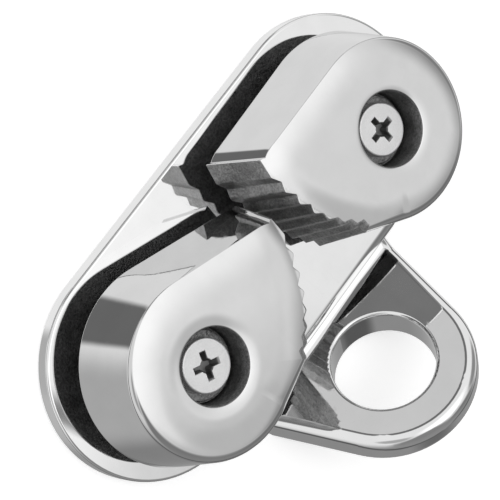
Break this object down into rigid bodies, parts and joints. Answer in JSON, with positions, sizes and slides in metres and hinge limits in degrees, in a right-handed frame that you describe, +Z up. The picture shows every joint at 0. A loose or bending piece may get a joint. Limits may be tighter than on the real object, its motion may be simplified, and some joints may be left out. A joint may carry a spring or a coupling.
{
  "type": "cam cleat",
  "caption": "Polished stainless cam cleat: stadium base plate with an inclined leading ring on one long edge and sprung, toothed pear-shaped cams on post pivots.",
  "frame": {"origin": "underside plane, midway between the two pivot axes", "axes": "+X along the pivot line towards the right cam, +Y away from the leading ring, +Z up out of the base plate"},
  "size_m": [0.0688, 0.048, 0.0166],
  "materials": {
    "cast_stainless": "cast stainless steel, mirror-polished, satin underside",
    "cam_stainless": "cast stainless steel, mirror-polished with as-cast tooth faces",
    "bronze_bush": "turned bearing bronze",
    "washer_acetal": "black acetal",
    "spring_wire": "drawn stainless spring wire",
    "washer_steel": "stamped stainless washer",
    "screw_steel": "bright satin stainless screw head"
  },
  "bodies": {
    "base": {"base": "cast_stainless", "left_bush": "bronze_bush", "left_thrust_washer": "washer_acetal", "left_spring": "spring_wire", "left_retaining_washer": "washer_steel", "left_screw": "screw_steel", "right_bush": "bronze_bush", "right_thrust_washer": "washer_acetal", "right_spring": "spring_wire", "right_retaining_washer": "washer_steel", "right_screw": "screw_steel"},
    "left_cam": {"left_cam": "cam_stainless"},
    "right_cam": {"right_cam": "cam_stainless"}
  },
  "joints": [
    {"name": "left_cam_pivot", "type": "hinge", "parent": "base", "child": "left_cam", "pos_m": [-0.019, 0, 0.0084], "axis": [0, 0, 1], "range_deg": [0, 45], "stiffness_Nm_per_rad": 0.012, "springref_deg": -34.38},
    {"name": "right_cam_pivot", "type": "hinge", "parent": "base", "child": "right_cam", "pos_m": [0.019, 0, 0.0084], "axis": [0, 0, -1], "range_deg": [0, 26], "stiffness_Nm_per_rad": 0.012, "springref_deg": -51.57}
  ]
}
